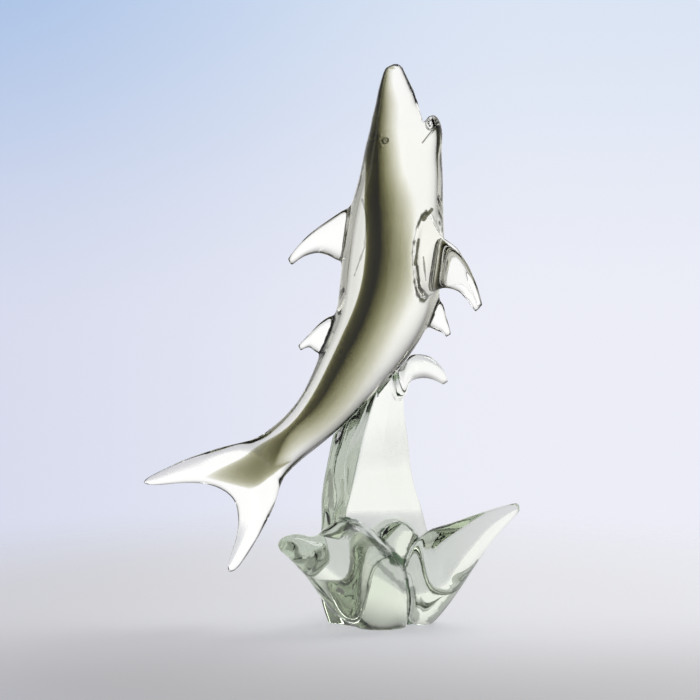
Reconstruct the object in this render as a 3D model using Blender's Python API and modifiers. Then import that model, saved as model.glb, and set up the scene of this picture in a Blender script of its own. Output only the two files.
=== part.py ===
"""A glass shark leaping from a wave of clear glass.

Two pieces of solid glass: the shark, worked hot with its fins pulled out of its
sides, and the wave that carries it, with a flat ground foot. The shark's
symmetry plane is the XZ plane, +X is the belly side, the foot rests at Z = 0.
"""

from math import atan2, cos, pi, radians, sin

import bmesh
import bpy
import numpy as np
from mathutils import Vector

# Driving sizes, in metres

SHARK_HEIGHT = 0.269         # nose tip to lower tail tip, straight up
BODY_BREADTH = 0.0425        # the body's greatest breadth across its sides
FIN_THICKNESS = 0.0076       # a back fin's blade just clear of the body
PECTORAL_THICKNESS = 0.0076  # a side fin's blade just clear of its foot
TAIL_THICKNESS = 0.0078      # the flat tail halfway out
EYE_DIAMETER = 0.0040        # the ring stamped beside the head
EYE_GROOVE = 0.0010          # width of that ring's groove
MOUTH_OPENING = 0.0014       # the snipped mouth at its lip

SEAT_HEIGHT = 0.1267         # the point on the wave where the belly rests
SEAT_OFFSET = 0.0026         # that point in front of the foot's middle
SEAT_GAP = 0.0003            # clearance between the shark and its seat

WAVE_SPAN = 0.125            # the wave's spread to left and right
WAVE_DEPTH = 0.090           # the wave's spread from front to back

# Free forms are written as whole thousandths of a driving size

SHARE = 0.001
SMOOTHING = 1                # subdivision steps of every smooth form
AROUND_BODY = 16             # cage points around the body
AROUND_BLADE = 8             # cage points around a fin or a crest

# The body from nose to tail root: the back and the belly, each as a distance
# towards the belly side and a height from the seat point, and half the breadth

BODY = [
    (12, 624, 29, 624, 42),
    (-3, 610, 38, 610, 112),
    (-12, 580, 53, 578, 170),
    (-21, 540, 67, 540, 230),
    (-27, 513, 78, 512, 278),
    (-32, 490, 97, 489, 320),
    (-40, 458, 110, 456, 367),
    (-49, 413, 113, 409, 418),
    (-63, 360, 114, 354, 456),
    (-75, 303, 116, 291, 487),
    (-84, 242, 114, 224, 500),
    (-90, 183, 98, 149, 487),
    (-100, 126, 61, 74, 449),
    (-124, 67, 0, 0, 386),
    (-163, -20, -83, -83, 297),
    (-212, -77, -153, -141, 209),
    (-253, -106, -198, -185, 146),
]

# The tail fan: how far each ring has turned into the trailing edge, its upper
# and lower edge, and half its thickness

TAIL_FAN = [
    (0.20, -293, -118, -214, -228, 780),
    (0.45, -346, -132, -237, -281, 560),
    (0.70, -399, -150, -261, -324, 470),
    (0.90, -440, -170, -281, -354, 390),
]
TRAILING_EDGE = [
    (-470, -183), (-472, -199), (-403, -197), (-340, -202), (-302, -226),
    (-291, -259), (-295, -308), (-311, -366), (-296, -374),
]
TRAILING_THICKNESS = 230
TAIL_FLATNESS = 0.6          # below 1 the fan is a plate with a rounded rim

# Fins in the symmetry plane, from inside the body to the tip: leading edge,
# trailing edge and half the thickness

BACK_FIN = [
    (-26, 361, -37, 228, 930),
    (-65, 350, -81, 238, 607),
    (-102, 328, -106, 250, 500),
    (-128, 310, -128, 257, 430),
    (-151, 292, -145, 255, 393),
    (-173, 269, -163, 248, 350),
    (-192, 244, -184, 232, 250),
]
SECOND_BACK_FIN = [
    (-79, 141, -92, 39, 640),
    (-110, 132, -126, 57, 430),
    (-134, 114, -141, 67, 360),
    (-153, 94, -151, 72, 300),
    (-172, 75, -166, 65, 220),
]
BELLY_FIN = [
    (78, 190, 36, 118, 640),
    (110, 163, 83, 112, 430),
    (119, 138, 102, 105, 360),
    (125, 118, 112, 101, 290),
    (130, 97, 121, 92, 220),
]

# A side fin in the same way, with the distance out from the symmetry plane
# after each edge

SIDE_FIN = [
    (76, 346, 224, 70, 165, 224, 900),
    (85, 332, 386, 77, 171, 398, 1020),
    (102, 297, 473, 92, 181, 485, 600),
    (122, 272, 573, 108, 190, 585, 360),
    (144, 253, 660, 129, 188, 672, 300),
    (163, 220, 734, 146, 178, 747, 260),
    (176, 185, 797, 159, 161, 803, 220),
    (183, 158, 830, 170, 145, 830, 150),
]
BACK_SIDE_REACH = 0.86       # the fin behind was pulled a little shorter
BACK_SIDE_LIFT = 14          # and its tip a little higher

# The snipped lip under the snout: its two edges and half the breadth

LIP = [
    (82, 396, 60, 396, 180),
    (97, 428, 62, 428, 210),
    (108, 456, 64, 454, 215),
    (113, 477, 68, 475, 205),
    (112, 496, 73, 492, 180),
    (107, 511, 78, 507, 145),
    (102, 521, 83, 518, 100),
    (97, 526, 88, 525, 50),
]
MOUTH = (103, 538, 72, 468)  # the cut, from above the lip to its corner
MOUTH_CLOSING = 0.3          # how open the cut still is at its corner
EYE = (0, 475, 304)          # distance towards the belly, height, and out
EYE_TILT = radians(22)       # how far an eye turns towards the back

# The wave's upright: height, left edge, front ridge (across and forward), right
# edge and back, in shares of the seat height, the span and the depth

COLUMN = [
    (-60, -190, -30, -215, 190, 225),
    (16, -226, -50, -255, 224, 260),
    (110, -254, -70, -270, 246, 275),
    (237, -262, -90, -262, 236, 285),
    (363, -252, -115, -240, 204, 300),
    (458, -248, -140, -215, 180, 305),
    (537, -248, -124, -198, 154, 300),
    (647, -229, -100, -185, 130, 278),
    (773, -203, -72, -138, 117, 240),
    (884, -168, -40, -96, 102, 190),
    (979, -120, -8, -74, 100, 140),
    (1050, -64, 16, -54, 90, 90),
]
EDGE_FORWARD = 0.15          # where the upright's left corner sits
FRONT_SLOPE = 0.85           # how far its wide front face turns back
BACK_INSET = 0.06            # how far its back corner stays inside its right side
CORNER_STEPS = (0.0, 0.22, 0.78)    # points from one corner to the next

# The crests, from the tip inwards: their middle across, forward and up, half the
# height and half the thickness

LEFT_CREST = [
    (-414, -478, 374, 12, 18),
    (-402, -468, 372, 28, 40),
    (-376, -435, 364, 46, 60),
    (-328, -380, 336, 72, 92),
    (-264, -315, 288, 108, 140),
    (-192, -255, 255, 186, 180),
    (-96, -205, 220, 220, 200),
    (0, -160, 160, 202, 196),
    (110, -100, 95, 118, 150),
]
RIGHT_CREST = [
    (591, -18, 478, 10, 16),
    (578, -22, 476, 24, 34),
    (536, -30, 452, 42, 62),
    (472, -45, 410, 68, 96),
    (400, -60, 350, 106, 130),
    (320, -75, 277, 152, 165),
    (248, -80, 218, 190, 188),
    (188, -50, 180, 196, 180),
    (120, 0, 140, 150, 165),
]
BACK_CREST = [
    (70, 500, 330, 22, 34),
    (62, 462, 318, 52, 70),
    (48, 390, 285, 96, 118),
    (30, 300, 240, 150, 166),
    (12, 200, 190, 195, 205),
    (0, 80, 130, 170, 200),
]
CREST_RIDGE = 0.84           # how far a crest's shoulders are drawn in

# The curl at the top of the wave: upper edge, under edge and half its thickness

CURL = [
    (51, 1050, 51, 930, 50),
    (97, 1096, 106, 950, 56),
    (135, 1121, 123, 998, 54),
    (174, 1124, 150, 1019, 52),
    (218, 1111, 186, 1024, 46),
    (254, 1079, 222, 1018, 39),
    (277, 1044, 248, 1007, 31),
    (289, 1008, 268, 996, 21),
]

# The finishes: name, colour and refractive index

SMOKE_GLASS = ("smoke_glass", (0.52, 0.50, 0.36, 1.0), 1.52)
WATER_GLASS = ("water_glass", (0.80, 0.90, 0.80, 1.0), 1.52)
POLISH = 0.02                # roughness of fire-polished glass


def shark_point(across, up, out=0.0):
    """A point on the shark from whole shares of its height and breadth."""
    height = SHARK_HEIGHT * SHARE
    return Vector((SEAT_OFFSET + across * height, out * BODY_BREADTH * SHARE,
                   SEAT_HEIGHT + up * height))


def wave_point(across, back, up):
    """A point on the wave from whole shares of its span, depth and height."""
    return Vector((across * WAVE_SPAN, back * WAVE_DEPTH, up * SEAT_HEIGHT)) * SHARE


def spline_weights(count, closed):
    """How a smooth skin weighs the cage points of one row."""
    weights = np.eye(count)
    for row in range(count):
        if closed or 0 < row < count - 1:
            weights[row, row] = 4 / 6
            weights[row, row - 1] = 1 / 6
            weights[row, (row + 1) % count] = 1 / 6
    return weights


def cage_points(rings):
    """The coarse cage whose smooth skin passes through the rings."""
    skin = np.array([[tuple(point) for point in ring] for ring in rings])
    along = np.linalg.inv(spline_weights(len(rings), closed=False))
    around = np.linalg.inv(spline_weights(len(rings[0]), closed=True))
    return np.einsum("ij,kl,jlc->ikc", along, around, skin)


def loft(name, rings, collection):
    """A smooth closed form through rings, its ends closed by a strip of faces."""
    mesh_points = bmesh.new()
    rows = [[mesh_points.verts.new(point) for point in ring] for ring in cage_points(rings)]
    count = len(rows[0])
    for near, far in zip(rows, rows[1:]):
        for side in range(count):
            after = (side + 1) % count
            mesh_points.faces.new((near[side], near[after], far[after], far[side]))
    for row in (rows[0], rows[-1]):
        mesh_points.faces.new((row[0], row[1], row[-1]))
        for side in range(1, count // 2 - 1):
            mesh_points.faces.new((row[side], row[side + 1], row[-side - 1], row[-side]))
        middle = count // 2
        mesh_points.faces.new((row[middle - 1], row[middle], row[middle + 1]))
    bmesh.ops.recalc_face_normals(mesh_points, faces=mesh_points.faces)
    mesh = bpy.data.meshes.new(name)
    mesh_points.to_mesh(mesh)
    mesh_points.free()
    mesh.shade_smooth()
    piece = bpy.data.objects.new(name, mesh)
    collection.objects.link(piece)
    smooth = piece.modifiers.new("smooth", "SUBSURF")
    smooth.levels = SMOOTHING
    smooth.render_levels = SMOOTHING
    return piece


def blade_rings(rows):
    """Lens-shaped rings between a leading and a trailing edge, across the path."""
    middles = [(lead + trail) / 2 for lead, trail, half in rows]
    rings = []
    for index, (lead, trail, half) in enumerate(rows):
        before = middles[max(index - 1, 0)]
        after = middles[min(index + 1, len(rows) - 1)]
        chord = (lead - trail) / 2
        face = chord.cross(after - before).normalized()
        ring = []
        for step in range(AROUND_BLADE):
            turn = 2 * pi * step / AROUND_BLADE
            ring.append(middles[index] + cos(turn) * chord + sin(turn) * half * face)
        rings.append(ring)
    return rings


def fin_rows(table):
    """Edges of a fin in the symmetry plane, with half its thickness in metres."""
    return [
        (shark_point(lead_x, lead_z), shark_point(trail_x, trail_z), half * FIN_THICKNESS * SHARE)
        for lead_x, lead_z, trail_x, trail_z, half in table
    ]


def side_fin_rows(side):
    """Edges of the side fin on one side of the body, -1 in front and 1 behind."""
    reach = BACK_SIDE_REACH if side > 0 else 1.0
    lift = BACK_SIDE_LIFT if side > 0 else 0.0
    rows = []
    for step, (lead_x, lead_z, lead_out, trail_x, trail_z, trail_out, half) in enumerate(SIDE_FIN):
        raised = lift * step / (len(SIDE_FIN) - 1)
        lead = shark_point(lead_x + raised, lead_z + raised, side * lead_out)
        trail = shark_point(trail_x + raised, trail_z + raised, side * trail_out)
        rows.append((lead, trail, half * PECTORAL_THICKNESS * SHARE))
    root_lead, root_trail, root_half = rows[1]
    return [(root_lead.lerp(lead, reach), root_trail.lerp(trail, reach), half)
            for lead, trail, half in rows]


def oval(back, belly, half_breadth, count):
    """A ring around the line from back to belly, bulging to both sides."""
    middle = (back + belly) / 2
    reach = (back - belly) / 2
    ring = []
    for step in range(count):
        turn = 2 * pi * step / count
        ring.append(middle + cos(turn) * reach + Vector((0, sin(turn) * half_breadth, 0)))
    return ring


def tail_rings():
    """Rings that open the tail root out into the flat forked tail."""
    half_count = AROUND_BODY // 2
    back_x, back_z, belly_x, belly_z, _ = BODY[-1]
    root = oval(shark_point(back_x, back_z), shark_point(belly_x, belly_z), 0, AROUND_BODY)
    trailing = [shark_point(across, up) for across, up in TRAILING_EDGE]
    edge_row = (1.0, *TRAILING_EDGE[0], *TRAILING_EDGE[-1], TRAILING_THICKNESS)
    rings = []
    for turned, upper_x, upper_z, lower_x, lower_z, half in [*TAIL_FAN, edge_row]:
        blend = [root[step].lerp(trailing[step], turned) for step in range(half_count + 1)]
        upper_shift = shark_point(upper_x, upper_z) - blend[0]
        lower_shift = shark_point(lower_x, lower_z) - blend[-1]
        line = []
        for step, point in enumerate(blend):
            line.append(point + upper_shift.lerp(lower_shift, step / half_count))
        ring = []
        for step in range(AROUND_BODY):
            turn = 2 * pi * step / AROUND_BODY
            bulge = abs(sin(turn)) ** TAIL_FLATNESS * (1 if sin(turn) > 0 else -1)
            out = Vector((0, bulge * half * TAIL_THICKNESS * SHARE, 0))
            ring.append(line[min(step, AROUND_BODY - step)] + out)
        rings.append(ring)
    return rings


def oval_rings(table, count):
    """Oval rings between the two edges a table gives."""
    return [
        oval(shark_point(back_x, back_z), shark_point(belly_x, belly_z),
             half * BODY_BREADTH * SHARE, count)
        for back_x, back_z, belly_x, belly_z, half in table
    ]


def body_rings():
    """Rings of the body and tail, nose first."""
    return oval_rings(BODY, AROUND_BODY) + tail_rings()


def column_rings():
    """Four-cornered rings of the wave's upright, foot first."""
    rings = []
    for up, left, ridge, forward, right, back in COLUMN:
        corners = [
            (right, forward + FRONT_SLOPE * (right - ridge)),
            (right - BACK_INSET * (right - left), back),
            (left, EDGE_FORWARD * forward),
            (ridge, forward),
        ]
        outline = []
        for (across, depth), (next_across, next_depth) in zip(corners, corners[1:] + corners[:1]):
            for turned in CORNER_STEPS:
                outline.append((across + (next_across - across) * turned,
                                depth + (next_depth - depth) * turned))
        rings.append([wave_point(across, depth, up) for across, depth in outline])
    return rings


def crest_rings(table):
    """Upright rings of a crest, across its path over the foot."""
    middles = [wave_point(across, back, up) for across, back, up, _, _ in table]
    rings = []
    for index, (_, _, _, tall, thick) in enumerate(table):
        before = middles[max(index - 1, 0)]
        after = middles[min(index + 1, len(table) - 1)]
        sideways = (after - before).cross(Vector((0, 0, 1))).normalized()
        ring = []
        for step in range(AROUND_BLADE):
            turn = 2 * pi * step / AROUND_BLADE
            shoulder = CREST_RIDGE if step in (1, AROUND_BLADE - 1) else 1.0
            half_height = tall * SEAT_HEIGHT * SHARE
            half_thickness = thick * WAVE_DEPTH * SHARE * shoulder
            lift = Vector((0, 0, cos(turn) * half_height))
            ring.append(middles[index] + lift + sin(turn) * half_thickness * sideways)
        rings.append(ring)
    return rings


def curl_rows():
    """Edges of the curl, with half its thickness in metres."""
    return [
        (wave_point(top_x, 0, top_z), wave_point(under_x, 0, under_z), half * WAVE_SPAN * SHARE)
        for top_x, top_z, under_x, under_z, half in CURL
    ]


def combine(piece, tool, operation):
    """Unite a piece with a tool object, or cut it by one."""
    tool.hide_render = True
    tool.display_type = "WIRE"
    boolean = piece.modifiers.new(tool.name, "BOOLEAN")
    boolean.operation = operation
    boolean.solver = "EXACT"
    boolean.object = tool


def mouth_cutter(collection):
    """A thin wedge across the head that snips the lip into two."""
    lip = shark_point(MOUTH[0], MOUTH[1])
    corner = shark_point(MOUTH[2], MOUTH[3])
    along = corner - lip
    mesh_points = bmesh.new()
    bmesh.ops.create_cube(mesh_points, size=1)
    for vert in mesh_points.verts:
        closing = 1.0 if vert.co.x < 0 else MOUTH_CLOSING
        vert.co.x *= along.length
        vert.co.y *= BODY_BREADTH
        vert.co.z *= MOUTH_OPENING * closing
    mesh = bpy.data.meshes.new("mouth_cutter")
    mesh_points.to_mesh(mesh)
    mesh_points.free()
    cutter = bpy.data.objects.new("mouth_cutter", mesh)
    cutter.location = (lip + corner) / 2
    cutter.rotation_euler = (0, -atan2(along.z, along.x), 0)
    collection.objects.link(cutter)
    return cutter


def eye_cutter(side, collection):
    """A small ring laid on one side of the head, -1 in front and 1 behind."""
    across, up, out = EYE
    bpy.ops.mesh.primitive_torus_add(
        major_radius=(EYE_DIAMETER - EYE_GROOVE) / 2, minor_radius=EYE_GROOVE / 2,
        major_segments=20, minor_segments=6,
        location=shark_point(across, up, side * out),
        rotation=(side * radians(-90), 0, side * EYE_TILT),
    )
    cutter = bpy.context.object
    cutter.name = "eye_cutter_front" if side < 0 else "eye_cutter_back"
    for holder in list(cutter.users_collection):
        holder.objects.unlink(cutter)
    collection.objects.link(cutter)
    return cutter


def ground_cutter(collection):
    """A block under the floor level that grinds the foot flat."""
    size = 2 * max(WAVE_SPAN, WAVE_DEPTH)
    mesh_points = bmesh.new()
    bmesh.ops.create_cube(mesh_points, size=size)
    mesh = bpy.data.meshes.new("ground_cutter")
    mesh_points.to_mesh(mesh)
    mesh_points.free()
    cutter = bpy.data.objects.new("ground_cutter", mesh)
    cutter.location = (0, 0, -size / 2)
    collection.objects.link(cutter)
    return cutter


def seat_cutter(body, collection):
    """The shark's own body grown by the seat gap, which shapes the seat."""
    cutter = bpy.data.objects.new("seat_cutter", body.data)
    collection.objects.link(cutter)
    smooth = cutter.modifiers.new("smooth", "SUBSURF")
    smooth.levels = SMOOTHING
    smooth.render_levels = SMOOTHING
    grow = cutter.modifiers.new("gap", "DISPLACE")
    grow.strength = SEAT_GAP
    grow.mid_level = 0
    return cutter


def glass(piece, finish):
    """Give a piece its clear glass."""
    name, colour, ior = finish
    material = bpy.data.materials.new(name)
    material.use_nodes = True
    shader = material.node_tree.nodes["Principled BSDF"]
    shader.inputs["Base Color"].default_value = colour
    shader.inputs["Roughness"].default_value = POLISH
    shader.inputs["Metallic"].default_value = 0.0
    shader.inputs["IOR"].default_value = ior
    shader.inputs["Transmission Weight"].default_value = 1.0
    piece.data.materials.append(material)


def build_shark(parts, tools):
    """The shark: body and tail in one form, with fins, lip, mouth and eyes."""
    shark = loft("shark", body_rings(), parts)
    glass(shark, SMOKE_GLASS)
    fins = {
        "back_fin": blade_rings(fin_rows(BACK_FIN)),
        "second_back_fin": blade_rings(fin_rows(SECOND_BACK_FIN)),
        "belly_fin": blade_rings(fin_rows(BELLY_FIN)),
        "front_side_fin": blade_rings(side_fin_rows(-1)),
        "back_side_fin": blade_rings(side_fin_rows(1)),
        "lip": oval_rings(LIP, AROUND_BLADE),
    }
    for name, rings in fins.items():
        combine(shark, loft(name, rings, tools), "UNION")
    combine(shark, mouth_cutter(tools), "DIFFERENCE")
    for side in (-1, 1):
        combine(shark, eye_cutter(side, tools), "DIFFERENCE")
    return shark


def build_wave(shark, parts, tools):
    """The wave: an upright with three crests and a curl, ground flat below."""
    wave = loft("wave_base", column_rings(), parts)
    glass(wave, WATER_GLASS)
    crests = {"left_crest": LEFT_CREST, "right_crest": RIGHT_CREST, "back_crest": BACK_CREST}
    for name, table in crests.items():
        combine(wave, loft(name, crest_rings(table), tools), "UNION")
    combine(wave, loft("curl", blade_rings(curl_rows()), tools), "UNION")
    combine(wave, ground_cutter(tools), "DIFFERENCE")
    combine(wave, seat_cutter(shark, tools), "DIFFERENCE")
    return wave


def main():
    for piece in list(bpy.data.objects):
        bpy.data.objects.remove(piece)
    parts = bpy.data.collections.new("glass_shark")
    tools = bpy.data.collections.new("cutters")
    for collection in (parts, tools):
        bpy.context.scene.collection.children.link(collection)
    shark = build_shark(parts, tools)
    build_wave(shark, parts, tools)


main()
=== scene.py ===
"""The looks of the glass shark: fire-polished clear glass, the smoke core sealed
inside the body, the green-tinted wave, and a pale backlit studio."""

from math import cos, pi, radians, sin

import bmesh
import bpy
import numpy as np
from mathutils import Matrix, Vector


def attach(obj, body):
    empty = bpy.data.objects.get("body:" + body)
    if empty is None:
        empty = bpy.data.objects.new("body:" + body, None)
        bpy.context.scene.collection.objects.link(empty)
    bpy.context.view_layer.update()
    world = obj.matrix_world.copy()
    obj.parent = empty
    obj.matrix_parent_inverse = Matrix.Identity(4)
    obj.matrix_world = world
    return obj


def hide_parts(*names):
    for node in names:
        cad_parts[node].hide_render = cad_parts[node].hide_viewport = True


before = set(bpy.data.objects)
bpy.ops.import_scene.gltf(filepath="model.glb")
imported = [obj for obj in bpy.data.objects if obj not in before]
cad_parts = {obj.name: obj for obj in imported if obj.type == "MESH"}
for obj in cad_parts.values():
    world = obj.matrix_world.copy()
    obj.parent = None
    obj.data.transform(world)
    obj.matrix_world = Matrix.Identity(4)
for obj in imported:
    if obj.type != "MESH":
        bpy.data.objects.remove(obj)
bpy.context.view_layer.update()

# Driving sizes in metres, as in the solids

SHARK_HEIGHT = 0.269         # nose tip to lower tail tip, straight up
BODY_BREADTH = 0.0425        # the body's greatest breadth across its sides
FIN_THICKNESS = 0.0076       # a back fin's blade just clear of the body
PECTORAL_THICKNESS = 0.0076  # a side fin's blade just clear of its foot
TAIL_THICKNESS = 0.0078      # the flat tail halfway out
EYE_DIAMETER = 0.0040        # the ring stamped beside the head
EYE_GROOVE = 0.0010          # width of that ring's groove
SEAT_HEIGHT = 0.1267         # the point on the wave where the belly rests
SEAT_OFFSET = 0.0026         # that point in front of the foot's middle
SEAT_GAP = 0.0003            # clearance between the shark and its seat
WAVE_SPAN = 0.125            # the wave's spread to left and right
WAVE_DEPTH = 0.090           # the wave's spread from front to back

# Free forms are whole thousandths of a driving size

SHARE = 0.001
BODY_SMOOTHING = 3           # subdivision steps of the body, the upright and the core
BLADE_SMOOTHING = 3          # subdivision steps of a fin, a crest and the curl
AROUND_BODY = 16             # cage points around the body
AROUND_BLADE = 8             # cage points around a fin or a crest

# Body from nose to tail root: back, belly, half the breadth; the jaw is part of it

BODY = [
    (17, 626, 24, 626, 14),
    (6, 621, 32, 621, 70),
    (-3, 610, 38, 610, 112),
    (-12, 580, 54, 578, 170),
    (-16, 562, 63, 561, 199),
    (-20, 543, 74, 543, 226),
    (-24, 527, 97, 526, 252),
    (-27, 513, 108, 511, 278),
    (-32, 490, 112, 489, 320),
    (-40, 458, 111, 456, 367),
    (-49, 413, 113, 409, 418),
    (-63, 360, 114, 354, 456),
    (-75, 303, 116, 291, 487),
    (-84, 242, 114, 224, 500),
    (-90, 183, 98, 149, 487),
    (-100, 126, 61, 74, 449),
    (-124, 67, 0, 0, 386),
    (-163, -20, -83, -83, 297),
    (-212, -77, -153, -141, 209),
    (-253, -106, -198, -185, 146),
]

# The tail: how far each ring has opened towards the trailing edge, its upper and lower
# edge, half its thickness

TAIL_FAN = [
    (0.20, -293, -118, -214, -228, 780),
    (0.45, -346, -132, -237, -281, 560),
    (0.70, -399, -150, -261, -324, 470),
    (0.90, -440, -170, -281, -354, 390),
]
TRAILING_EDGE = [            # from the upper tip round the fork to the lower tip
    (-470, -183), (-472, -199), (-403, -197), (-340, -202), (-302, -226),
    (-291, -259), (-295, -308), (-311, -366), (-296, -374),
]
TRAILING_THICKNESS = 230
TAIL_FLATNESS = 0.6          # below 1 the fan is a plate with a rounded rim

# Fins from inside the body to the tip: leading edge, trailing edge, half thickness; the
# side fins' edges also have how far out they are

BACK_FIN = [
    (-26, 361, -37, 228, 930),
    (-65, 350, -81, 238, 607),
    (-102, 328, -106, 250, 500),
    (-128, 310, -128, 257, 430),
    (-151, 292, -145, 255, 393),
    (-173, 269, -163, 248, 350),
    (-192, 244, -184, 232, 250),
]
SECOND_BACK_FIN = [
    (-79, 141, -92, 39, 640),
    (-110, 132, -126, 57, 430),
    (-134, 114, -141, 67, 360),
    (-153, 94, -151, 72, 300),
    (-172, 75, -166, 65, 220),
]
BELLY_FIN = [
    (78, 190, 36, 118, 640),
    (110, 163, 83, 112, 430),
    (119, 138, 102, 105, 360),
    (125, 118, 112, 101, 290),
    (130, 97, 121, 92, 220),
]
SIDE_FIN = [
    (76, 346, 224, 70, 165, 224, 900),
    (85, 332, 386, 77, 171, 398, 1020),
    (102, 297, 473, 92, 181, 485, 600),
    (122, 272, 573, 108, 190, 585, 360),
    (144, 253, 660, 129, 188, 672, 300),
    (163, 220, 734, 146, 178, 747, 260),
    (176, 185, 797, 159, 161, 803, 220),
    (183, 158, 830, 170, 145, 830, 150),
]
BACK_SIDE_REACH = 0.86       # the far side fin is a little shorter
BACK_SIDE_LIFT = 14          # and its tip a little higher

# The head. Lengths that aren't shares are metres

NEAR_SIDE = -1               # the side of the body that the camera sees
JAW_NOTCH = [                # what the shears took out between the snout and the jaw
    (52, 586), (54, 578), (60, 561), (66, 544), (70, 529), (75, 512), (79, 519), (85, 525),
    (93, 527), (101, 524), (125, 518), (125, 586),
]
MOUTH_LIP = (96, 502)        # the slit starts at the pinched loop
MOUTH_CORNER = (71, 470)
GROOVE_WIDTH = 0.0008        # half the width of its furrow at the loop
GROOVE_CLOSING = 0.7         # how much narrower the furrow is at the corner
GROOVE_BOW = 0.0006          # how far its middle bends off a straight line
GROOVE_STEPS = 6
GROOVE_SMOOTHING = 2
LOOP = (88, 510)             # the pinched loop at the lip
LOOP_RADII = (0.0026, 0.0030, 0.0039)
LOOP_TILT = radians(14)
LOOP_SIDES = (32, 20)        # around and from top to bottom
EYE = (0, 475, 304)          # across, up, and out
EYE_SIDES = (40, 12)         # around the ring and around its groove
EYE_MARKS = [                # along and up from the eye in shares, radius in metres
    (0, 0, 0.00055), (-10, 10, 0.0006), (-13, 3, 0.0005), (-11, -5, 0.0006), (-8, -11, 0.0005),
]
MARK_SIDES = (20, 12)

# Seams between two forms, rounded by the heat of the glass

SEAM_ANGLE = radians(24)     # a seam is sharper than this
SEAM_REACH = 3               # rings of points around a seam that melt with it
SEAM_PASSES = 14
SEAM_MERGE = 1e-6            # points closer than this are one, in metres
SEAM = "seam"                # the mark on the points of a seam, which the glass reads to paint shade along it
SEAM_FADE = 0.3              # that mark on the points next to a seam, where it is 1

# The wave: height, left, ridge across and forward, right, back

COLUMN = [
    (-60, -190, -30, -215, 190, 225),
    (16, -226, -50, -255, 224, 260),
    (110, -254, -70, -270, 246, 275),
    (237, -262, -90, -262, 236, 285),
    (363, -252, -115, -240, 204, 300),
    (458, -248, -140, -215, 180, 305),
    (537, -248, -124, -198, 154, 300),
    (647, -229, -100, -185, 130, 278),
    (773, -203, -72, -138, 117, 240),
    (884, -168, -40, -96, 102, 190),
    (979, -120, -8, -74, 100, 140),
    (1050, -64, 16, -54, 90, 90),
]

# Crests from tip to root: across, back, up, half the height, half the thickness

LEFT_CREST = [
    (-414, -478, 374, 12, 18),
    (-402, -468, 372, 28, 40),
    (-376, -435, 364, 46, 60),
    (-328, -380, 336, 72, 92),
    (-264, -315, 288, 108, 140),
    (-192, -255, 255, 186, 180),
    (-96, -205, 220, 220, 200),
    (0, -160, 160, 202, 196),
    (110, -100, 95, 118, 150),
]
RIGHT_CREST = [
    (591, -18, 478, 10, 16),
    (578, -22, 476, 24, 34),
    (536, -30, 452, 42, 62),
    (472, -45, 410, 68, 96),
    (400, -60, 350, 106, 130),
    (320, -75, 277, 152, 165),
    (248, -80, 218, 190, 188),
    (188, -50, 180, 196, 180),
    (120, 0, 140, 150, 165),
]
BACK_CREST = [
    (70, 500, 330, 22, 34),
    (62, 462, 318, 52, 70),
    (48, 390, 285, 96, 118),
    (30, 300, 240, 150, 166),
    (12, 200, 190, 195, 205),
    (0, 80, 130, 170, 200),
]
CREST_RIDGE = 0.84                  # how far a crest's shoulders are drawn in
EDGE_FORWARD = 0.15                 # where the upright's left corner sits
FRONT_SLOPE = 0.85                  # how far its wide front face turns back
BACK_INSET = 0.06                   # how far its back corner stays inside its right side
CORNER_STEPS = (0.0, 0.22, 0.78)    # points from one corner to the next

# The curl from root to tip: upper edge, lower edge, half thickness

CURL = [
    (51, 1050, 51, 930, 18),
    (97, 1096, 106, 950, 36),
    (135, 1121, 123, 998, 48),
    (174, 1124, 150, 1019, 52),
    (218, 1111, 186, 1024, 46),
    (254, 1079, 222, 1018, 39),
    (277, 1044, 248, 1007, 31),
    (289, 1008, 268, 996, 21),
]

# The smoke core and the clear hollow inside it from nose to tail, as the body's rows

CORE = [
    (7, 618, 17, 618, 12),
    (0, 608, 21, 607, 42),
    (-7, 580, 26, 579, 71),
    (-15, 540, 40, 540, 113),
    (-22, 499, 45, 499, 138),
    (-28, 458, 49, 457, 155),
    (-24, 412, 58, 410, 179),
    (-27, 359, 72, 356, 220),
    (-26, 300, 73, 293, 224),
    (-29, 237, 77, 227, 233),
    (-40, 175, 59, 156, 221),
    (-62, 114, 26, 85, 202),
    (-93, 50, -20, 11, 194),
    (-141, -37, -92, -76, 162),
    (-196, -94, -162, -131, 117),
    (-243, -120, -210, -168, 66),
    (-275, -141, -238, -193, 52),
    (-317, -163, -252, -202, 38),
    (-358, -184, -265, -208, 15),
]
HOLLOW = [
    (9, 614, 18, 614, 10),
    (7, 608, 22, 607, 36),
    (3, 580, 28, 579, 62),
    (-1, 540, 41, 540, 101),
    (-5, 499, 46, 499, 125),
    (-5, 457, 51, 457, 137),
    (-4, 412, 60, 410, 162),
    (-5, 358, 75, 355, 197),
    (-4, 298, 78, 293, 195),
    (-7, 235, 82, 227, 203),
    (-20, 170, 63, 155, 194),
    (-42, 107, 29, 85, 178),
    (-77, 42, -17, 8, 167),
    (-131, -45, -89, -79, 137),
    (-189, -102, -159, -134, 98),
    (-218, -157, -220, -163, 12),
]


def shark_point(across, up, out=0.0):
    """A point on the shark from whole shares of its height and breadth."""
    height = SHARK_HEIGHT * SHARE
    return Vector((SEAT_OFFSET + across * height, out * BODY_BREADTH * SHARE,
                   SEAT_HEIGHT + up * height))


def wave_point(across, back, up):
    """A point on the wave from whole shares of its span, depth and height."""
    return Vector((across * WAVE_SPAN, back * WAVE_DEPTH, up * SEAT_HEIGHT)) * SHARE


def spline_weights(count, closed):
    """How a smooth skin weighs the cage points of one row."""
    weights = np.eye(count)
    for row in range(count):
        if closed or 0 < row < count - 1:
            weights[row, row] = 4 / 6
            weights[row, row - 1] = 1 / 6
            weights[row, (row + 1) % count] = 1 / 6
    return weights


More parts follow.
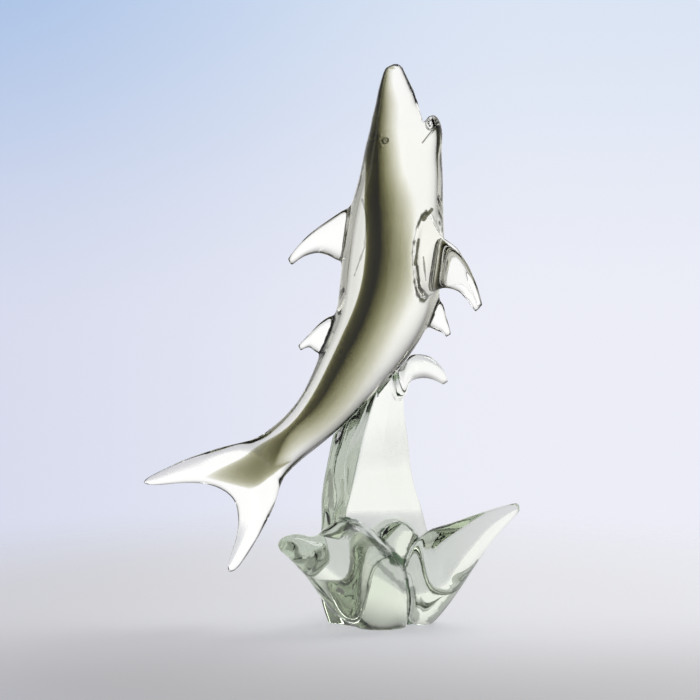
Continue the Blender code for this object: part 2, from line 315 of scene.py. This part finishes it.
def cage_points(rings):
    """The coarse cage whose smooth skin passes through the rings."""
    skin = np.array([[tuple(point) for point in ring] for ring in rings])
    along = np.linalg.inv(spline_weights(len(rings), closed=False))
    around = np.linalg.inv(spline_weights(len(rings[0]), closed=True))
    return np.einsum("ij,kl,jlc->ikc", along, around, skin)


def link_mesh(name, shape):
    """Make an object of a shape's faces, and let the shape go."""
    mesh = bpy.data.meshes.new(name)
    shape.to_mesh(mesh)
    shape.free()
    piece = bpy.data.objects.new(name, mesh)
    bpy.context.scene.collection.objects.link(piece)
    return piece


def loft(name, rings, smoothing):
    """A smooth closed form through rings, its ends closed by a strip of faces."""
    cage = bmesh.new()
    rows = [[cage.verts.new(point) for point in ring] for ring in cage_points(rings)]
    count = len(rows[0])
    for near, far in zip(rows, rows[1:]):
        for side in range(count):
            after = (side + 1) % count
            cage.faces.new((near[side], near[after], far[after], far[side]))
    middle = count // 2
    for row in (rows[0], rows[-1]):
        cage.faces.new((row[0], row[1], row[-1]))
        for side in range(1, middle - 1):
            cage.faces.new((row[side], row[side + 1], row[-side - 1], row[-side]))
        cage.faces.new((row[middle - 1], row[middle], row[middle + 1]))
    bmesh.ops.recalc_face_normals(cage, faces=cage.faces)
    piece = link_mesh(name, cage)
    smooth = piece.modifiers.new("smooth", "SUBSURF")
    smooth.levels = smoothing
    smooth.render_levels = smoothing
    return piece


def settle(piece, tools=()):
    """Turn a piece and its modifiers into a plain mesh, and clear its tools away."""
    depsgraph = bpy.context.evaluated_depsgraph_get()
    mesh = bpy.data.meshes.new_from_object(piece.evaluated_get(depsgraph))
    piece.modifiers.clear()
    piece.data = mesh
    for tool in tools:
        bpy.data.objects.remove(tool)
    return piece


def oval(back, belly, half_breadth, count):
    """A ring around the line from back to belly, bulging to both sides."""
    middle = (back + belly) / 2
    reach = (back - belly) / 2
    ring = []
    for step in range(count):
        turn = 2 * pi * step / count
        ring.append(middle + cos(turn) * reach + Vector((0, sin(turn) * half_breadth, 0)))
    return ring


def blade_rings(rows):
    """Lens-shaped rings between a leading and a trailing edge, across the path."""
    middles = [(lead + trail) / 2 for lead, trail, half in rows]
    rings = []
    for index, (lead, trail, half) in enumerate(rows):
        before = middles[max(index - 1, 0)]
        after = middles[min(index + 1, len(rows) - 1)]
        chord = (lead - trail) / 2
        face = chord.cross(after - before).normalized()
        ring = []
        for step in range(AROUND_BLADE):
            turn = 2 * pi * step / AROUND_BLADE
            ring.append(middles[index] + cos(turn) * chord + sin(turn) * half * face)
        rings.append(ring)
    return rings


def fin_rows(table):
    """Edges of a fin in the symmetry plane, with half its thickness in metres."""
    return [
        (shark_point(lead_x, lead_z), shark_point(trail_x, trail_z), half * FIN_THICKNESS * SHARE)
        for lead_x, lead_z, trail_x, trail_z, half in table
    ]


def side_fin_rows(side):
    """Edges of the side fin on one side of the body, -1 in front and 1 behind."""
    reach = BACK_SIDE_REACH if side > 0 else 1.0
    lift = BACK_SIDE_LIFT if side > 0 else 0.0
    rows = []
    for step, (lead_x, lead_z, lead_out, trail_x, trail_z, trail_out, half) in enumerate(SIDE_FIN):
        raised = lift * step / (len(SIDE_FIN) - 1)
        lead = shark_point(lead_x + raised, lead_z + raised, side * lead_out)
        trail = shark_point(trail_x + raised, trail_z + raised, side * trail_out)
        rows.append((lead, trail, half * PECTORAL_THICKNESS * SHARE))
    root_lead, root_trail, _ = rows[1]
    return [(root_lead.lerp(lead, reach), root_trail.lerp(trail, reach), half)
            for lead, trail, half in rows]


def tail_rings():
    """Rings that open the tail root out into the flat forked tail."""
    half_count = AROUND_BODY // 2
    back_x, back_z, belly_x, belly_z, _ = BODY[-1]
    root = oval(shark_point(back_x, back_z), shark_point(belly_x, belly_z), 0, AROUND_BODY)
    trailing = [shark_point(across, up) for across, up in TRAILING_EDGE]
    edge_row = (1.0, *TRAILING_EDGE[0], *TRAILING_EDGE[-1], TRAILING_THICKNESS)
    rings = []
    for turned, upper_x, upper_z, lower_x, lower_z, half in [*TAIL_FAN, edge_row]:
        blend = [root[step].lerp(trailing[step], turned) for step in range(half_count + 1)]
        upper_shift = shark_point(upper_x, upper_z) - blend[0]
        lower_shift = shark_point(lower_x, lower_z) - blend[-1]
        line = []
        for step, point in enumerate(blend):
            line.append(point + upper_shift.lerp(lower_shift, step / half_count))
        ring = []
        for step in range(AROUND_BODY):
            turn = 2 * pi * step / AROUND_BODY
            bulge = abs(sin(turn)) ** TAIL_FLATNESS * (1 if sin(turn) > 0 else -1)
            out = Vector((0, bulge * half * TAIL_THICKNESS * SHARE, 0))
            ring.append(line[min(step, AROUND_BODY - step)] + out)
        rings.append(ring)
    return rings


def table_rings(table):
    """Oval rings of a form that follows the body."""
    return [
        oval(shark_point(back_x, back_z), shark_point(belly_x, belly_z),
             half * BODY_BREADTH * SHARE, AROUND_BODY)
        for back_x, back_z, belly_x, belly_z, half in table
    ]


def body_rings():
    """Rings of the body and tail, nose first."""
    return table_rings(BODY) + tail_rings()


def column_rings():
    """Four-cornered rings of the wave's upright, foot first."""
    rings = []
    for up, left, ridge, forward, right, back in COLUMN:
        corners = [
            (right, forward + FRONT_SLOPE * (right - ridge)),
            (right - BACK_INSET * (right - left), back),
            (left, EDGE_FORWARD * forward),
            (ridge, forward),
        ]
        outline = []
        for (across, depth), (next_across, next_depth) in zip(corners, corners[1:] + corners[:1]):
            for turned in CORNER_STEPS:
                outline.append((across + (next_across - across) * turned,
                                depth + (next_depth - depth) * turned))
        rings.append([wave_point(across, depth, up) for across, depth in outline])
    return rings


def crest_rings(table):
    """Upright rings of a crest, across its path over the foot."""
    middles = [wave_point(across, back, up) for across, back, up, tall, thick in table]
    rings = []
    for index, (across, back, up, tall, thick) in enumerate(table):
        before = middles[max(index - 1, 0)]
        after = middles[min(index + 1, len(table) - 1)]
        sideways = (after - before).cross(Vector((0, 0, 1))).normalized()
        ring = []
        for step in range(AROUND_BLADE):
            turn = 2 * pi * step / AROUND_BLADE
            shoulder = CREST_RIDGE if step in (1, AROUND_BLADE - 1) else 1.0
            half_height = tall * SEAT_HEIGHT * SHARE
            half_thickness = thick * WAVE_DEPTH * SHARE * shoulder
            lift = Vector((0, 0, cos(turn) * half_height))
            ring.append(middles[index] + lift + sin(turn) * half_thickness * sideways)
        rings.append(ring)
    return rings


def curl_rows():
    """Edges of the curl, with half its thickness in metres."""
    return [
        (wave_point(top_x, 0, top_z), wave_point(under_x, 0, under_z), half * WAVE_SPAN * SHARE)
        for top_x, top_z, under_x, under_z, half in CURL
    ]


def combine(piece, tool, operation):
    """Unite a piece with a tool, or cut it by one."""
    boolean = piece.modifiers.new(tool.name, "BOOLEAN")
    boolean.operation = operation
    boolean.solver = "EXACT"
    boolean.object = tool
    return tool


def block(name, size, middle):
    """A cube tool."""
    shape = bmesh.new()
    bmesh.ops.create_cube(shape, size=size)
    bmesh.ops.translate(shape, vec=middle, verts=shape.verts)
    return link_mesh(name, shape)


def prism(name, outline):
    """A tool with one outline right across the body."""
    shape = bmesh.new()
    reach = Vector((0, BODY_BREADTH, 0))
    ends = [[shape.verts.new(point + side * reach) for point in outline] for side in (-1, 1)]
    shape.faces.new(ends[0])
    shape.faces.new(ends[1])
    for index in range(len(outline)):
        shape.faces.new((ends[0][index - 1], ends[0][index],
                         ends[1][index], ends[1][index - 1]))
    bmesh.ops.recalc_face_normals(shape, faces=shape.faces)
    return link_mesh(name, shape)


def surface_spot(piece, point, side):
    """Where the piece's skin is, seen from one side, and which way it faces."""
    origin = Vector((point.x, side * BODY_BREADTH * 2, point.z))
    found, spot, facing, _ = piece.ray_cast(origin, Vector((0, -side, 0)))
    return (spot, facing) if found else (point, Vector((0, side, 0)))


def mouth_groove(piece, side):
    """The furrow the shears leave from the lip to the corner of the mouth."""
    lip = shark_point(*MOUTH_LIP)
    corner = shark_point(*MOUTH_CORNER)
    across = (corner - lip).cross(Vector((0, 1, 0))).normalized()
    rows = []
    for step in range(GROOVE_STEPS):
        turned = step / (GROOVE_STEPS - 1)
        spot, _ = surface_spot(piece, lip.lerp(corner, turned), side)
        width = GROOVE_WIDTH * (1 - GROOVE_CLOSING * turned)
        spot = spot + across * GROOVE_BOW * sin(pi * turned)
        rows.append((spot + across * width, spot - across * width, width))
    return loft("mouth_groove", blade_rings(rows), GROOVE_SMOOTHING)


def lip_loop(piece, side):
    """The dimple that the pincers leave in the lip."""
    spot, _ = surface_spot(piece, shark_point(*LOOP), side)
    around, down = LOOP_SIDES
    bpy.ops.mesh.primitive_uv_sphere_add(
        segments=around, ring_count=down, radius=1, location=spot,
        rotation=(0, LOOP_TILT, 0), scale=LOOP_RADII)
    return bpy.context.object


def eye_tools(piece, side):
    """A stamped ring with a dot inside, and the marks of the tool beside it."""
    across, up, _ = EYE
    spot, facing = surface_spot(piece, shark_point(across, up), side)
    around, groove = EYE_SIDES
    bpy.ops.mesh.primitive_torus_add(
        major_radius=(EYE_DIAMETER - EYE_GROOVE) / 2, minor_radius=EYE_GROOVE / 2,
        major_segments=around, minor_segments=groove, location=spot,
        rotation=facing.to_track_quat("Z", "Y").to_euler())
    tools = [bpy.context.object]
    around, down = MARK_SIDES
    for mark_across, mark_up, radius in EYE_MARKS:
        spot, _ = surface_spot(piece, shark_point(across + mark_across, up + mark_up), side)
        bpy.ops.mesh.primitive_uv_sphere_add(
            segments=around, ring_count=down, radius=radius, location=spot)
        tools.append(bpy.context.object)
    return tools


def melt_seams(piece, keep):
    """Round the seams where two forms meet, as hot glass does, except where keep says."""
    surface = bmesh.new()
    surface.from_mesh(piece.data)
    bmesh.ops.remove_doubles(surface, verts=surface.verts, dist=SEAM_MERGE)
    seam = surface.verts.layers.float.new(SEAM)
    soft = set()
    for edge in surface.edges:
        if edge.is_manifold and edge.calc_face_angle() > SEAM_ANGLE:
            soft.update(vert for vert in edge.verts if not keep(vert.co))
    for vert in soft:
        vert[seam] = 1.0
    for ring in range(SEAM_REACH):
        near = {edge.other_vert(vert) for vert in soft for edge in vert.link_edges}
        for vert in near - soft:
            vert[seam] = SEAM_FADE if ring == 0 else 0.0
        soft |= {vert for vert in near if not keep(vert.co)}
    verts = list(soft)
    for _ in range(SEAM_PASSES):
        bmesh.ops.smooth_vert(surface, verts=verts, factor=0.5,
                              use_axis_x=True, use_axis_y=True, use_axis_z=True)
    surface.to_mesh(piece.data)
    surface.free()
    piece.data.shade_smooth()


class Wire:
    """One shader socket, so that shader maths reads as an expression."""

    def __init__(self, tree, socket):
        self.tree = tree
        self.socket = socket

    def math(self, operation, *others):
        return node(self.tree, "ShaderNodeMath", {"operation": operation},
                    {index: value for index, value in enumerate((self, *others))})

    def __add__(self, other):
        return self.math("ADD", other)

    def __sub__(self, other):
        return self.math("SUBTRACT", other)

    def __mul__(self, other):
        return self.math("MULTIPLY", other)

    def __truediv__(self, other):
        return self.math("DIVIDE", other)

    def __rsub__(self, other):
        return node(self.tree, "ShaderNodeMath", {"operation": "SUBTRACT"}, {0: other, 1: self})

    __radd__ = __add__
    __rmul__ = __mul__

    def part(self, output):
        """Another output of the same node."""
        return Wire(self.tree, self.socket.node.outputs[output])

    def ramp(self, low, high):
        """0 below low, 1 above high, smooth between."""
        return node(self.tree, "ShaderNodeMapRange", {"interpolation_type": "SMOOTHSTEP"},
                    {"Value": self, "From Min": low, "From Max": high})


def node(tree, kind, settings, inputs, output=0):
    """Add a node: its type, its settings, its socket values or wires."""
    made = tree.nodes.new(kind)
    for name, value in settings.items():
        setattr(made, name, value)
    for name, value in inputs.items():
        if isinstance(value, Wire):
            tree.links.new(value.socket, made.inputs[name])
        else:
            made.inputs[name].default_value = value
    return Wire(tree, made.outputs[output]) if len(made.outputs) else None


def empty_tree(holder):
    """The nodes of a material or a world, with nothing in them yet."""
    holder.use_nodes = True
    holder.node_tree.nodes.clear()
    return holder.node_tree


def blend(tree, factor, first, second):
    """Mix two colours."""
    return node(tree, "ShaderNodeMix", {"data_type": "RGBA"},
                {0: factor, 6: first, 7: second}, output=2)


def place(tree):
    """Object coordinates."""
    return node(tree, "ShaderNodeTexCoord", {}, {}, output="Object")


def noise(tree, scale, detail, roughness):
    """Uneven values from 0 to 1 over a piece; scale counts the lumps in a metre."""
    return node(tree, "ShaderNodeTexNoise", {},
                {"Vector": place(tree), "Scale": scale, "Detail": detail, "Roughness": roughness})


def axes(spot):
    """The three parts of a place or a direction."""
    split = node(spot.tree, "ShaderNodeSeparateXYZ", {}, {0: spot})
    return [split.part(axis) for axis in range(3)]


def length(*parts):
    """How long a line is, from its parts along each axis."""
    squares = [part * part for part in parts]
    return sum(squares[1:], squares[0]).math("SQRT")


def line_at(distance, radius, sharp, soft):
    """1 where a distance is the radius, gone where it is further off than soft."""
    return 1 - (distance - radius).math("ABSOLUTE").ramp(sharp, soft)


# Noises: lumps in a metre, detail, roughness

SWELL = (38.0, 1.0, 0.4)             # the hand-worked unevenness of the skin
GRAIN = (420.0, 2.0, 0.5)            # its finest part, and where it is duller
SEAM_BREAKS = (95.0, 2.0, 0.6)       # where the painted shade along a seam is broken
STROKE_EDGES = (160.0, 3.0, 0.6)     # how the edge of a painted shade stroke wanders

# Painted shade: dark strokes painted into the glass's colour, standing in for the dark lines its
# bending
# shows: start and end in shares of the shark or the wave, half the width in metres, how dark

FIN_SHADE_STROKES = [
    (89, 341, 73, 322, 0.0011, 1.0),
    (63, 284, 57, 236, 0.0009, 1.0),
    (60, 232, 65, 196, 0.0007, 1.0),
    (65, 192, 82, 172, 0.0010, 0.9),
    (72, 250, 77, 205, 0.0006, 0.9),
    (-45, 361, -36, 326, 0.0006, 0.7),
    (-36, 326, -41, 268, 0.0006, 0.6),
    (-41, 268, -60, 214, 0.0006, 0.7),
]
WAVE_SHADE_STROKES = [
    (-169, 453, -110, 445, 0.0010, 0.8),
    (-110, 445, -55, 399, 0.0012, 0.8),
    (-55, 399, 0, 336, 0.0014, 0.85),
    (0, 336, 51, 294, 0.0018, 0.95),
    (51, 294, 93, 265, 0.0026, 1.0),
    (93, 265, 112, 205, 0.0014, 0.9),
    (112, 205, 118, 10, 0.0009, 0.8),
    (131, 150, 142, 20, 0.0028, 0.72),
    (406, 257, 317, 148, 0.0026, 0.75),
    (317, 148, 222, 20, 0.0034, 0.75),
    (-8, 282, 102, 169, 0.0016, 0.6),
    (-106, 73, -34, 6, 0.0008, 0.85),
    (-271, 131, -161, 52, 0.0007, 0.7),
]
STROKE_FADE = (0.55, 1.1)    # a painted shade stroke fades between these shares of half its width
STROKE_WANDER = 2.4          # how far its edges wander, in the same shares
NEAR_FACE = (-0.002, 0.002)  # painted shade lines on the near side end between these depths
NEAR_WAVE = (-0.004, 0.002)
# Painted shade along the mouth's slit, round the eyes and round the pinched loop
SLIT_FADE = (0.0001, 0.0006)
EYE_RING = (0.42, 0.0001, 0.0005)    # radius in diameters, then the painted shade line's sharp and soft edge
EYE_DOT = (0.16, 0.0001, 0.0004)
EYE_DOT_DARKNESS = 0.6
LOOP_LINE = (1.0, 0.05, 0.22)        # the same in shares of the loop
LOOP_DARKNESS = 0.85


def segment_distance(across, up, start, end):
    """How far a place is from a straight line, seen from the side."""
    along = end - start
    near_x, near_z = across - start.x, up - start.z
    turned = (near_x * along.x + near_z * along.z) / along.length_squared
    turned = turned.math("MINIMUM", 1.0).math("MAXIMUM", 0.0)
    return length(near_x - turned * along.x, near_z - turned * along.z)


def shade_strokes_mask(tree, table, to_point):
    """Where the painted shade strokes of a table lie, with uneven edges."""
    across, _, up = axes(place(tree))
    wander = noise(tree, *STROKE_EDGES) - 0.5
    sharp, soft = STROKE_FADE
    mask = None
    for start_x, start_z, end_x, end_z, half, strength in table:
        distance = segment_distance(across, up, to_point(start_x, start_z),
                                    to_point(end_x, end_z))
        distance = distance + wander * half * STROKE_WANDER
        painted_shade = (1 - distance.ramp(half * sharp, half * soft)) * strength
        mask = painted_shade if mask is None else mask.math("MAXIMUM", painted_shade)
    return mask


def wave_shade_lines(tree):
    """Painted shade: the dark strokes on the front of the wave."""
    _, back, _ = axes(place(tree))
    strokes = shade_strokes_mask(tree, WAVE_SHADE_STROKES, lambda across, up: wave_point(across, 0, up))
    return strokes * (1 - back.ramp(*NEAR_WAVE))


def eye_shade_lines(across, out, up):
    """Painted shade on the ring of an eye and the dot inside it, on both sides of the head."""
    eye = shark_point(*EYE)
    distance = length(across - eye.x, out.math("ABSOLUTE") - eye.y, up - eye.z)
    radius, sharp, soft = EYE_RING
    ring = line_at(distance, EYE_DIAMETER * radius, sharp, soft)
    radius, sharp, soft = EYE_DOT
    dot = line_at(distance, EYE_DIAMETER * radius, sharp, soft)
    return ring.math("MAXIMUM", dot * EYE_DOT_DARKNESS)


def mouth_shade_lines(across, up):
    """Painted shade on the rim of the pinched loop and the slit from it to the mouth's corner."""
    loop = shark_point(*LOOP)
    loop_x, loop_z = across - loop.x, up - loop.z
    wide = (loop_x * cos(LOOP_TILT) - loop_z * sin(LOOP_TILT)) / LOOP_RADII[0]
    tall = (loop_x * sin(LOOP_TILT) + loop_z * cos(LOOP_TILT)) / LOOP_RADII[2]
    rim = line_at(length(wide, tall), *LOOP_LINE)
    slit = segment_distance(across, up, shark_point(*MOUTH_LIP), shark_point(*MOUTH_CORNER))
    return (rim * LOOP_DARKNESS).math("MAXIMUM", 1 - slit.ramp(*SLIT_FADE))


def face_shade_lines(tree):
    """Painted shade: the dark outlines of the eyes, the pinched loop, the mouth and the fins'
    roots.
    """
    across, out, up = axes(place(tree))
    mouth = mouth_shade_lines(across, up) * (1 - out.ramp(*NEAR_FACE))
    shade_marks = eye_shade_lines(across, out, up).math("MAXIMUM", mouth)
    return shade_marks.math("MAXIMUM", shade_strokes_mask(tree, FIN_SHADE_STROKES, shark_point))


CLEAR = (1.0, 1.0, 1.0, 1.0)
GLASS_IOR = 1.5
GRAIN_HEIGHT = 0.02          # in shares of the swell's height
DULL_SPOTS = 0.02            # their roughness on fire-polished glass
# Each glass: its ripple, its tint and how fast it deepens, and the colour and lines of its painted
# shade
SHARK_GLASS_AND_SHADE = {
    "ripple": 0.0004, "absorb": (0.86, 0.86, 0.74, 1), "density": 13.0,
    "painted_shade": (0.03, 0.03, 0.015, 1), "shade_marks": face_shade_lines,
}
WAVE_GLASS_AND_SHADE = {
    "ripple": 0.0006, "absorb": (0.50, 0.62, 0.36, 1), "density": 10.0,
    "painted_shade": (0.02, 0.04, 0.02, 1), "shade_marks": wave_shade_lines,
}
SMOKE = (0.32, 0.306, 0.046, 1)
SMOKE_DENSITY = 500.0


def finish(tree, surface, absorb, density):
    """Give a material its surface, and a colour that deepens with thickness."""
    volume = node(tree, "ShaderNodeVolumeAbsorption", {}, {"Color": absorb, "Density": density})
    node(tree, "ShaderNodeOutputMaterial", {}, {"Surface": surface, "Volume": volume})


def glass(name, ripple, absorb, density, painted_shade, shade_marks):
    """Clear glass: a faint hand-worked ripple, a tint that deepens with thickness,
    and painted shade: dark strokes painted into its colour along its seams and its given lines."""
    material = bpy.data.materials.new(name)
    tree = empty_tree(material)
    swell = noise(tree, *SWELL)
    fine = noise(tree, *GRAIN)
    skin = node(tree, "ShaderNodeBump", {},
                {"Strength": 1.0, "Distance": ripple, "Height": swell + fine * GRAIN_HEIGHT})
    # Painted shade: dark strokes along the seams, broken by noise, and the given lines, painted
    # into the glass's colour
    seam = node(tree, "ShaderNodeAttribute", {"attribute_name": SEAM}, {}, output="Fac")
    strokes = seam.ramp(0.15, 0.75) * noise(tree, *SEAM_BREAKS).ramp(0.42, 0.54)
    strokes = strokes.math("MAXIMUM", shade_marks(tree))
    shader = node(tree, "ShaderNodeBsdfPrincipled", {}, {
        "Base Color": blend(tree, strokes, CLEAR, painted_shade),
        "Roughness": fine.ramp(0.62, 0.8) * DULL_SPOTS, "IOR": GLASS_IOR,
        "Transmission Weight": 1.0, "Normal": skin,
    })
    finish(tree, shader, absorb, density)
    return material


def smoke():
    """Smoke-coloured glass. It bends no light, because clear glass closes it in."""
    material = bpy.data.materials.new("smoke_core")
    tree = empty_tree(material)
    shader = node(tree, "ShaderNodeBsdfPrincipled", {}, {
        "Base Color": CLEAR, "Roughness": 0.0, "IOR": 1.0, "Transmission Weight": 1.0,
    })
    finish(tree, shader, SMOKE, SMOKE_DENSITY)
    return material


def dress(piece, material):
    """Give a piece its finish and its slot, and tie it to the body."""
    piece.data.materials.clear()
    piece.data.materials.append(material)
    piece.data.shade_smooth()
    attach(piece, "root")


def make_shark():
    """The clear glass of the shark."""
    shark = loft("shark_glass", body_rings(), BODY_SMOOTHING)
    forms = {
        "back_fin": blade_rings(fin_rows(BACK_FIN)),
        "second_back_fin": blade_rings(fin_rows(SECOND_BACK_FIN)),
        "belly_fin": blade_rings(fin_rows(BELLY_FIN)),
        "front_side_fin": blade_rings(side_fin_rows(NEAR_SIDE)),
        "back_side_fin": blade_rings(side_fin_rows(-NEAR_SIDE)),
    }
    tools = [combine(shark, loft(name, rings, BLADE_SMOOTHING), "UNION")
             for name, rings in forms.items()]
    notch = prism("jaw_notch", [shark_point(*corner) for corner in JAW_NOTCH])
    settle(shark, [*tools, combine(shark, notch, "DIFFERENCE")])
    melt_seams(shark, lambda point: False)
    bpy.context.view_layer.update()
    cutters = []
    for side in (-1, 1):
        cutters += [lip_loop(shark, side), *eye_tools(shark, side)]
    cutters.append(mouth_groove(shark, NEAR_SIDE))
    settle(shark, [combine(shark, cutter, "DIFFERENCE") for cutter in cutters])
    return shark


def make_wave():
    """The clear glass of the wave, ground flat below."""
    wave = loft("wave_glass", column_rings(), BODY_SMOOTHING)
    crests = {"left_crest": LEFT_CREST, "right_crest": RIGHT_CREST, "back_crest": BACK_CREST}
    tools = [combine(wave, loft(name, crest_rings(table), BLADE_SMOOTHING), "UNION")
             for name, table in crests.items()]
    tools.append(combine(wave, loft("curl", blade_rings(curl_rows()), BLADE_SMOOTHING), "UNION"))
    settle(wave, tools)
    melt_seams(wave, lambda point: point.z < 0)
    size = 2 * WAVE_SPAN
    ground = block("ground_cutter", size, (0, 0, -size / 2))
    seat = loft("seat_cutter", body_rings(), BODY_SMOOTHING)
    grow = seat.modifiers.new("gap", "DISPLACE")
    grow.strength = SEAT_GAP
    grow.mid_level = 0
    cuts = [combine(wave, ground, "DIFFERENCE"), combine(wave, seat, "DIFFERENCE")]
    settle(wave, cuts)
    return wave


def make_core():
    """The smoke core sealed in the body, clear inside and open towards the belly."""
    core = loft("smoke_core", table_rings(CORE), BLADE_SMOOTHING)
    hollow = loft("hollow", table_rings(HOLLOW), BLADE_SMOOTHING)
    return settle(core, [combine(core, hollow, "DIFFERENCE")])


def make_pieces():
    """The shark, the wave and the core, each with its finish."""
    shark = make_shark()
    dress(shark, glass("clear_glass", **SHARK_GLASS_AND_SHADE))
    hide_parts("shark")
    wave = make_wave()
    dress(wave, glass("wave_glass", **WAVE_GLASS_AND_SHADE))
    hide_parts("wave_base")
    dress(make_core(), smoke())


# The studio: a pale backdrop that only the camera sees, and a surround that the glass sees

VIEW_SCALE = 0.000529        # metres a pixel of the photo, at the shark's plane
VIEW_DISTANCE = 1.03
VIEW_RISE = radians(3.0)
FRAME_PIXELS = 700
FLOOR_PIXELS = 623.5         # the floor under the foot's middle, down the photo
FOOT_PIXELS = 380            # the foot's middle, across the photo
SENSOR = 36.0
LEFT_BACKDROP = ((0.68, 0.71, 0.85, 1), (0.38, 0.53, 0.79, 1))      # low down and high up
RIGHT_BACKDROP = ((0.84, 0.85, 0.93, 1), (0.69, 0.77, 0.90, 1))
DARKEST = (0.05, 0.045, 0.055, 1)
BRIGHTEST = (1.0, 1.0, 1.0, 1)
SURROUND_STRENGTH = 1.05
FLOOR_RADIUS = 1.4
FLOOR_SIDES = 96
FLOOR_PAINT = (0.55, 0.55, 0.56, 1)
FLOOR_PAINTED_LIGHT_FRONT = (0.19, 0.19, 0.19, 1)          # painted light glowing in the floor, near the camera and far from it
FLOOR_PAINTED_LIGHT_BACK = (0.46, 0.465, 0.49, 1)
FLOOR_PAINTED_SHADE_LEFT = (0.0, 0.0, 0.02, 1)             # painted shade that dims the glow on the left, by so much
FLOOR_PAINTED_SHADE_DIMMING = 0.28
FLOOR_FADE = (0.16, 0.50)                    # the floor is gone at the second distance
LAMP_PLACE = (0.7, 0.5, 1.2)
LAMP_TARGET = Vector((0, 0, 0.1))
LAMP_SIZE = 0.7
LAMP_WATTS = 6
BOUNCES = 32
CLEAR_BOUNCES = 16


def make_camera():
    """The photo's view: level with the middle of the frame, a little from above."""
    middle = FRAME_PIXELS / 2
    target = Vector((middle - FOOT_PIXELS, 0, FLOOR_PIXELS - middle)) * VIEW_SCALE
    data = bpy.data.cameras.new("camera")
    data.sensor_width = SENSOR
    data.lens = SENSOR * VIEW_DISTANCE / (FRAME_PIXELS * VIEW_SCALE)
    camera = bpy.data.objects.new("camera", data)
    camera.location = target + VIEW_DISTANCE * Vector((0, -cos(VIEW_RISE), sin(VIEW_RISE)))
    camera.rotation_euler = (pi / 2 - VIEW_RISE, 0, 0)
    bpy.context.scene.collection.objects.link(camera)
    bpy.context.scene.camera = camera


def backdrop(tree, across, up):
    """The backdrop's colour by direction: bluer above and on the left."""
    rise = up.ramp(-0.05, 0.17)
    return blend(tree, across.ramp(-0.22, 0.10), blend(tree, rise, *LEFT_BACKDROP),
                 blend(tree, rise, *RIGHT_BACKDROP))


def surround_level(across, back, up):
    """How bright the surround is by direction: brightest behind, with narrow windows at the
    sides and in front, and darker between them, above and on the right."""
    front = (1 - back.ramp(-0.35, -0.05)) * 0.20
    right_behind = 0.30 + back.ramp(0.15, 0.80) * 0.70
    left_behind = 0.40 + back.ramp(0.40, 0.92) * 0.60
    rightward = across.ramp(-0.35, 0.0)
    behind = front + right_behind * rightward + left_behind * (1 - rightward)
    side_window = 1 - back.math("ABSOLUTE").ramp(0.06, 0.13)
    front_window = (1 - across.math("ABSOLUTE").ramp(0.10, 0.18)) * (1 - back.ramp(-0.9, -0.8))
    level = behind.math("MAXIMUM", side_window).math("MAXIMUM", front_window)
    top = (1 - up.ramp(0.12, 0.60) * 0.5) * (1 - up.ramp(0.55, 0.85) * 0.7)
    right_side = 1 - across.ramp(0.25, 0.60) * 0.20
    return level * top * right_side


def make_world():
    """The camera sees the backdrop, and the glass sees the surround."""
    world = bpy.data.worlds.new("studio")
    tree = empty_tree(world)
    across, back, up = axes(node(tree, "ShaderNodeTexCoord", {}, {}, output="Generated"))
    surround = blend(tree, surround_level(across, back, up), DARKEST, BRIGHTEST)
    seen = node(tree, "ShaderNodeBackground", {},
                {"Color": backdrop(tree, across, up), "Strength": 1.0})
    lit = node(tree, "ShaderNodeBackground", {},
               {"Color": surround, "Strength": SURROUND_STRENGTH})
    camera_ray = node(tree, "ShaderNodeLightPath", {}, {}, output="Is Camera Ray")
    mixed = node(tree, "ShaderNodeMixShader", {}, {0: camera_ray, 1: lit, 2: seen})
    node(tree, "ShaderNodeOutputWorld", {}, {"Surface": mixed})
    bpy.context.scene.world = world


def make_floor():
    """A pale floor that fades into the backdrop, with painted light glowing in it, dimmer near the
    camera, and painted shade on its left.
    """
    bpy.ops.mesh.primitive_circle_add(vertices=FLOOR_SIDES, radius=FLOOR_RADIUS, fill_type="NGON")
    floor = bpy.context.object
    floor.name = "floor"
    material = bpy.data.materials.new("floor")
    tree = empty_tree(material)
    spot = place(tree)
    distance = node(tree, "ShaderNodeVectorMath", {"operation": "LENGTH"}, {0: spot},
                    output="Value")
    right, back, _ = axes(spot)
    # Painted light: the floor glows more far from the camera, with painted shade dimming it on the
    # left
    glow = blend(tree, back.ramp(-0.24, 0.04), FLOOR_PAINTED_LIGHT_FRONT, FLOOR_PAINTED_LIGHT_BACK)
    dimmed = blend(tree, FLOOR_PAINTED_SHADE_DIMMING, glow, FLOOR_PAINTED_SHADE_LEFT)
    glow = blend(tree, right.ramp(-0.25, 0.10), dimmed, glow)
    matt = node(tree, "ShaderNodeBsdfPrincipled", {}, {
        "Base Color": FLOOR_PAINT, "Roughness": 0.7,
        "Emission Color": glow, "Emission Strength": 1.0,
    })
    clear = node(tree, "ShaderNodeBsdfTransparent", {}, {})
    faded = node(tree, "ShaderNodeMixShader", {},
                 {0: distance.ramp(*FLOOR_FADE), 1: matt, 2: clear})
    node(tree, "ShaderNodeOutputMaterial", {}, {"Surface": faded})
    floor.data.materials.append(material)


def make_lights():
    """One broad soft lamp above and behind, to the right."""
    data = bpy.data.lights.new("soft_lamp", "AREA")
    data.energy = LAMP_WATTS
    data.size = LAMP_SIZE
    lamp = bpy.data.objects.new("soft_lamp", data)
    lamp.location = LAMP_PLACE
    lamp.rotation_euler = (LAMP_TARGET - lamp.location).to_track_quat("-Z", "Y").to_euler()
    bpy.context.scene.collection.objects.link(lamp)


make_camera()
make_pieces()
make_world()
make_floor()
make_lights()

scene = bpy.context.scene
scene.view_settings.view_transform = "Standard"
scene.cycles.max_bounces = BOUNCES
scene.cycles.transmission_bounces = BOUNCES
scene.cycles.transparent_max_bounces = CLEAR_BOUNCES
